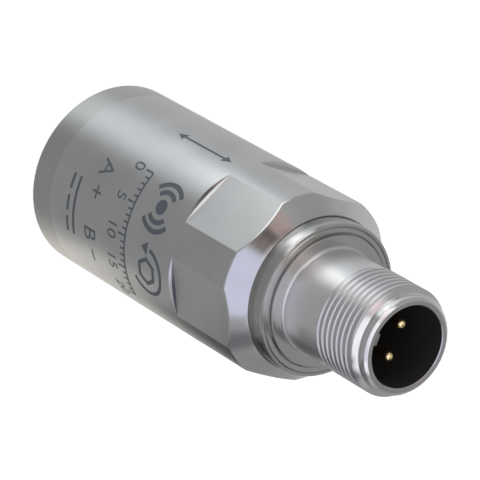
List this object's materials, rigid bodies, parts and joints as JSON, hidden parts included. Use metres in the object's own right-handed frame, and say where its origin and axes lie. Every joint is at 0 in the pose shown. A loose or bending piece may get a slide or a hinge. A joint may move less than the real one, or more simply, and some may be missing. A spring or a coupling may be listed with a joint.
{
  "type": "vibration sensor",
  "caption": "Turned steel vibration sensor with wrench flats, a tapped mounting base and a threaded round connector; it turns machine vibration into a loop current.",
  "frame": {"origin": "centre of the mounting face at the bottom of the base", "axes": "+Z along the sensor axis from the base to the connector; the polarising key lies towards -Y and the two contacts lie on the X axis; two of the wrench flats face +X and -X"},
  "size_m": [0.0284, 0.0282, 0.0721],
  "materials": {
    "base_steel": "turned stainless steel, satin",
    "case_steel": "turned stainless steel, satin",
    "connector_steel": "turned stainless steel, bright",
    "insert_black": "moulded black insulator",
    "retainer_steel": "pressed steel ring",
    "contact_gold": "gold-plated copper alloy",
    "white_ceramic": "fired white ceramic",
    "piezo_ceramic": "fired piezoelectric ceramic with silvered faces",
    "electrode_brass": "rolled brass",
    "mass_metal": "sintered heavy metal",
    "sleeve_plastic": "polyimide tube",
    "screw_steel": "hardened steel, dark",
    "shield_metal": "drawn nickel silver",
    "grommet_rubber": "soft black rubber",
    "lead_white": "white insulated wire",
    "lead_red": "red insulated wire",
    "lead_black": "black insulated wire",
    "ring_plastic": "turned white plastic",
    "board_green": "laminate with green solder mask",
    "chip_black": "moulded black package with tinned leads",
    "capacitor_tan": "ceramic body with tinned ends",
    "capacitor_orange": "moulded orange package with tinned ends",
    "spacer_plastic": "moulded natural plastic"
  },
  "bodies": {
    "root": {"base": "base_steel", "case": "case_steel", "connector_shell": "connector_steel", "connector_insert": "insert_black", "insert_retainer": "retainer_steel", "contact_pin_a": "contact_gold", "contact_pin_b": "contact_gold", "isolation_washer": "white_ceramic", "lower_piezo_ring": "piezo_ceramic", "centre_electrode": "electrode_brass", "upper_piezo_ring": "piezo_ceramic", "seismic_mass": "mass_metal", "stack_sleeve": "sleeve_plastic", "spring_washer": "screw_steel", "preload_screw": "screw_steel", "shield_can": "shield_metal", "lead_grommet": "grommet_rubber", "signal_lead": "lead_white", "board_ring": "ring_plastic", "lower_board": "board_green", "amplifier_chip": "chip_black", "filter_capacitor_1": "capacitor_tan", "filter_capacitor_2": "capacitor_tan", "board_header": "chip_black", "board_spacer_1": "spacer_plastic", "board_spacer_2": "spacer_plastic", "board_spacer_3": "spacer_plastic", "upper_board": "board_green", "converter_chip": "chip_black", "loop_transistor": "chip_black", "smoothing_capacitor": "capacitor_orange", "surge_diode": "chip_black", "top_ring": "ring_plastic", "power_lead_a": "lead_red", "power_lead_b": "lead_black"}
  },
  "joints": []
}
